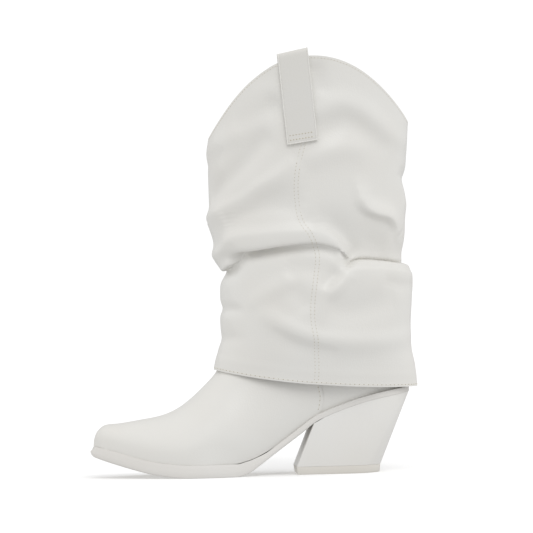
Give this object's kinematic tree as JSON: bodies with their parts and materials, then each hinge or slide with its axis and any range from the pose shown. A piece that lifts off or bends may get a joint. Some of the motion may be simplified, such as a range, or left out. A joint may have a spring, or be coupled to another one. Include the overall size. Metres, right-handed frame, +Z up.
{
  "type": "boot",
  "caption": "White mid-calf slouch boot with a loose fold-over sleeve, narrow toe, thin rising sole, raked block heel and side pull straps.",
  "frame": {"origin": "centre of the top lift's face on the floor, under the heel", "axes": "-X towards the toe, -Y towards the outer side of the foot, +Z up"},
  "size_m": [0.2593, 0.11, 0.3333],
  "materials": {
    "upper_leather": "smooth white leather, satin",
    "lining": "pale lining, matt",
    "heel_cover": "white cover over a moulded heel, satin",
    "sole_rubber": "off-white moulded sole, satin",
    "lift_rubber": "cream top lift, matt"
  },
  "bodies": {
    "root": {"outsole": "sole_rubber", "insole": "lining", "heel": "heel_cover", "top_lift": "lift_rubber", "upper": "upper_leather", "sleeve": "upper_leather", "pull_strap_lateral": "upper_leather", "pull_strap_medial": "upper_leather"}
  },
  "joints": []
}
